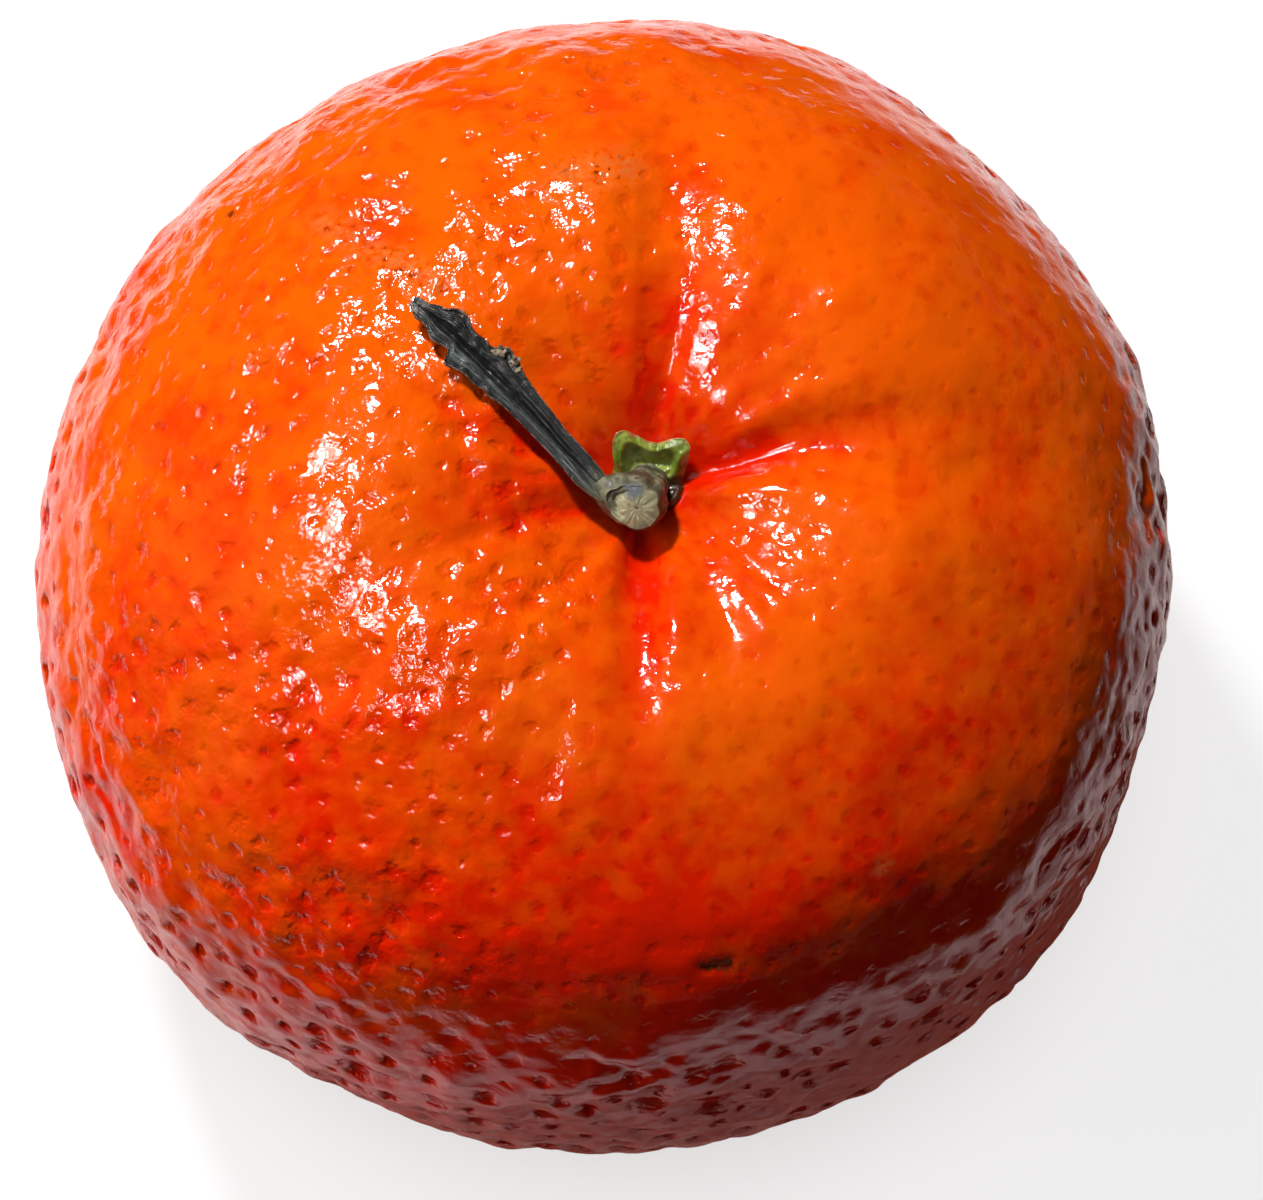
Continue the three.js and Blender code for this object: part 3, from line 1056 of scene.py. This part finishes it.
def cut_stem_material():
    s = Shader("cut_stem")
    where = s.attribute("piece_co", "Vector")
    face = s.attribute("face_place", "Vector")
    from_pith = s.vector("LENGTH", face)
    spoke = s.vector("NORMALIZE", face)
    streaks = s.noise(s.vector("SCALE", spoke, 1.2 * MM), 0.25, 3)
    dirt = s.noise(where, 0.8, 4)

    wood = s.mix(s.between(streaks, 0.35, 0.65), "wood", "wood_pale")
    wood = s.mix(s.between(dirt, 0.5, 0.72, 0.0, 0.6), wood, "wood_green")
    wood = s.mix(s.between(from_pith, 0.8 * MM, 1.5 * MM, 0.0, 0.55), wood, "wood_edge")
    wood = s.mix(s.between(from_pith, 0.1 * MM, 0.18 * MM, 0.7, 0.0), wood, "pith")
    # A blue-grey patch towards the back of the cut face
    from_grey_blue_patch = s.vector("DISTANCE", face, (-0.1 * MM, 1.05 * MM, 0.0))
    wood = s.mix(s.between(from_grey_blue_patch, 0.3 * MM, 0.8 * MM, 0.85, 0.0), wood, "grey_blue_patch")
    bark = s.mix(s.between(dirt, 0.4, 0.65), "stem_bark", "stem_bark_pale")
    cracks = s.between(s.noise(where, 0.4, 3), 0.52, 0.66, 0.0, 0.8)
    bark = s.mix(cracks, bark, "stem_crack")
    s.bump(s.plus(s.times(streaks, 0.05), s.times(dirt, 0.12)))
    s.set(
        Base_Color=s.mix(s.attribute("cut"), bark, wood),
        Roughness=s.between(dirt, 0.3, 0.7, 0.5, 0.75),
        Coat_Weight=0.12,
        Coat_Roughness=0.2,
    )
    return s.material


def dried_stalk_material():
    s = Shader("dried_stalk")
    where = s.attribute("piece_co", "Vector")
    along, place = s.attribute("along"), s.attribute("place")
    size = s.calc("ABSOLUTE", place)
    combine = s.tree.nodes.new("ShaderNodeCombineXYZ")
    s.feed(combine.inputs["X"], s.times(place, 6.0 * MM))
    s.feed(combine.inputs["Y"], s.times(along, 6.0 * MM))
    strands = s.noise(combine.outputs["Vector"], 0.7, 4)
    grit = s.noise(where, 0.3, 3)

    bark = s.mix(s.between(strands, 0.38, 0.68), "stalk_black", "stalk_grey")
    # Painted highlight: pale streaks along the stalk's left ridge
    ridge_highlight = s.times(s.between(place, -0.85, -0.55), s.between(place, -0.4, -0.15, 1.0, 0.0))
    ridge_highlight = s.times(ridge_highlight, s.between(strands, 0.45, 0.62, 0.05, 0.9))
    bark = s.mix(ridge_highlight, bark, "stalk_ridge_highlight")
    bark = s.mix(s.between(size, 0.03, 0.14, 0.95, 0.0), bark, "stalk_groove")
    dry_edge = s.times(s.between(size, 0.9, 1.0), s.between(grit, 0.45, 0.6, 0.0, 0.8))
    bark = s.mix(dry_edge, bark, "stalk_edge")
    bark = s.mix(s.between(along, 0.0, 0.16, 0.85, 0.0), bark, "stalk_foot")
    tip = s.times(s.between(along, 0.92, 0.99), s.between(grit, 0.4, 0.6))
    bark = s.mix(tip, bark, "stalk_tip")
    s.bump(s.plus(s.times(strands, 0.22), s.times(grit, 0.05)))
    s.set(
        Base_Color=bark,
        Roughness=s.between(grit, 0.3, 0.7, 0.45, 0.7),
        Coat_Weight=0.7,
        Coat_Roughness=0.16,
    )
    return s.material


def crumb_material():
    s = Shader("dry_crumbs")
    grit = s.noise(s.attribute("piece_co", "Vector"), 0.3, 3)
    s.bump(s.times(grit, 0.12))
    crumb = s.mix(s.between(grit, 0.4, 0.6), "crumb_dark", "crumb_pale")
    s.set(Base_Color=crumb, Roughness=0.85)
    return s.material


# ---- Stage ---------------------------------------------------------------


def in_metres(lengths):
    return tuple(length * MM for length in lengths)


def make_floor():
    """A pale table. Its bounce on the fruit comes from the world's GROUND instead."""
    s = Shader("pale_floor")
    s.set(Base_Color=(FLOOR_SHADE, FLOOR_SHADE, FLOOR_SHADE, 1), Roughness=0.9)
    from_fruit = s.vector("LENGTH", s.place())
    # Painted contact shadow: the glow dims under the fruit
    glow_and_shadow = s.between(from_fruit, *in_metres(FLOOR_SHADOW_RADII), *FLOOR_GLOW_AND_SHADOW)
    s.set(Emission_Color=(1, 1, 1, 1), Emission_Strength=glow_and_shadow)
    bpy.ops.mesh.primitive_plane_add(size=FLOOR_WIDTH * MM, location=(0, 0, -0.2 * MM))
    floor = bpy.context.object
    floor.name = "floor"
    floor.data.materials.append(s.material)
    floor.visible_glossy = floor.visible_diffuse = False


def make_mirror_card():
    """The table as the rind's wax shows it, fading out before the horizon.

    Only reflections see it.
    """
    s = Shader("mirrored_table")
    place = s.place()
    fade = s.between(s.vector("LENGTH", place), *in_metres(MIRROR_FADE), 1.0, 0.0)
    tone = s.mix(fade, (0, 0, 0, 1), MIRROR_TINT)
    from_foot = s.vector("DISTANCE", place, in_metres((*MIRROR_FOOT_PLACE, 0.0)))
    foot = s.between(from_foot, *in_metres(MIRROR_FOOT), 1.0, 0.0)
    bounce = s.mix(foot, tone, MIRROR_FOOT_TINT)
    dim = (MIRROR_SHADE, MIRROR_SHADE, MIRROR_SHADE, 1)
    s.set(Base_Color=s.mix(1.0, tone, dim, "MULTIPLY"), Roughness=1.0, Specular_IOR_Level=0.0)
    s.set(Emission_Color=bounce, Emission_Strength=MIRROR_GLOW)
    bpy.ops.mesh.primitive_circle_add(vertices=128, radius=MIRROR_CARD * MM, fill_type="NGON")
    card = bpy.context.object
    card.name = "mirrored_table"
    card.location.z = -0.1 * MM
    card.data.materials.append(s.material)
    card.visible_camera = card.visible_diffuse = card.visible_shadow = False


def make_backdrop():
    """A pale round wall, which only the camera sees, so that the rind doesn't mirror it."""
    radius, height = in_metres((BACKDROP_RADIUS, BACKDROP_HEIGHT))
    bpy.ops.mesh.primitive_cylinder_add(
        vertices=96, radius=radius, depth=height, end_fill_type="NOTHING"
    )
    wall = bpy.context.object
    wall.name = "backdrop"
    s = Shader("pale_wall")
    s.set(Base_Color=(0, 0, 0, 1), Roughness=1.0, Specular_IOR_Level=0.0)
    s.set(Emission_Color=(1, 1, 1, 1), Emission_Strength=BACKDROP_GLOW)
    wall.data.materials.append(s.material)
    wall.visible_diffuse = wall.visible_glossy = wall.visible_shadow = False


def point_at(obj, target):
    obj.rotation_euler = (Vector(target) - obj.location).to_track_quat("-Z", "Y").to_euler()


def area_light(name, azimuth, elevation, size, power, colour, shows):
    """azimuth is in degrees from +X towards +Y, as seen from above."""
    light = bpy.data.lights.new(name, "AREA")
    light.shape = "DISK"
    light.size = size * MM
    light.energy = power
    light.color = colour
    lamp = bpy.data.objects.new(name, light)
    bpy.context.scene.collection.objects.link(lamp)
    az, el = math.radians(azimuth), math.radians(elevation)
    toward = np.array([math.cos(el) * math.cos(az), math.cos(el) * math.sin(az), math.sin(el)])
    middle = np.array([0, 0, MID_HEIGHT])
    lamp.location = (middle + toward * LIGHT_DISTANCE) * MM
    point_at(lamp, middle * MM)
    lamp.visible_camera = False
    lamp.visible_diffuse = shows in ("both", "diffuse")
    lamp.visible_glossy = shows in ("both", "glossy")


def make_world():
    """A dark room, with the table's soft bounce below the horizon."""
    world = bpy.data.worlds.new("studio")
    world.use_nodes = True
    tree = world.node_tree
    place = tree.nodes.new("ShaderNodeTexCoord")
    parts = tree.nodes.new("ShaderNodeSeparateXYZ")
    fade = tree.nodes.new("ShaderNodeMapRange")
    fade.interpolation_type = "SMOOTHSTEP"
    tree.links.new(place.outputs["Generated"], parts.inputs["Vector"])
    tree.links.new(parts.outputs["Z"], fade.inputs["Value"])
    sockets = ("From Min", "From Max", "To Min", "To Max")
    for name, value in zip(sockets, (*HORIZON, GROUND, SKY)):
        fade.inputs[name].default_value = value
    background = tree.nodes["Background"]
    background.inputs["Color"].default_value = WORLD_TINT
    tree.links.new(fade.outputs["Result"], background.inputs["Strength"])
    bpy.context.scene.world = world


def make_lights():
    for name, setting in LIGHTS.items():
        area_light(name, *setting)
    make_world()
    bpy.context.scene.view_settings.view_transform = "Standard"


def make_camera():
    data = bpy.data.cameras.new("camera")
    camera = bpy.data.objects.new("camera", data)
    bpy.context.scene.collection.objects.link(camera)
    tilt = math.radians(CAMERA_ELEVATION)
    up = np.array([0, math.sin(tilt), math.cos(tilt)])
    back = np.array([0, -math.cos(tilt), math.sin(tilt)])
    aim = np.array([AIM_RIGHT, 0, MID_HEIGHT]) - up * AIM_DOWN
    camera.location = (aim + back * CAMERA_DISTANCE) * MM
    point_at(camera, aim * MM)
    data.lens = data.sensor_width * FRUIT_SHARE * CAMERA_DISTANCE / FRUIT_WIDTH
    data.clip_start = 10 * MM
    bpy.context.scene.camera = camera


# ---- Assembly ------------------------------------------------------------


def frame_shift():
    """Moves the rind's own middle to the middle of the CAD fruit, both in mm."""
    directions, _ = icosphere(5)
    rest = rind_points(directions)
    low, high = (np.array(corner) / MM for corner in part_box("fruit"))
    shift = (low + high) / 2 - (rest.min(axis=0) + rest.max(axis=0)) / 2
    return np.array([shift[0], shift[1], 0.0])


def place_piece(obj, material, node=None):
    obj.data.materials.append(material)
    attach(obj, "root")
    if node:
        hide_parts(node)


FRAME_SHIFT = frame_shift()

place_piece(make_fruit(), rind_material(), "fruit")
place_piece(make_calyx(), calyx_material(), "calyx")
place_piece(make_stub(), cut_stem_material(), "stem_stub")
place_piece(make_stalk(), dried_stalk_material(), "leaf_stalk")
place_piece(make_crumbs(), crumb_material())

make_floor()
make_mirror_card()
make_backdrop()
make_lights()
make_camera()
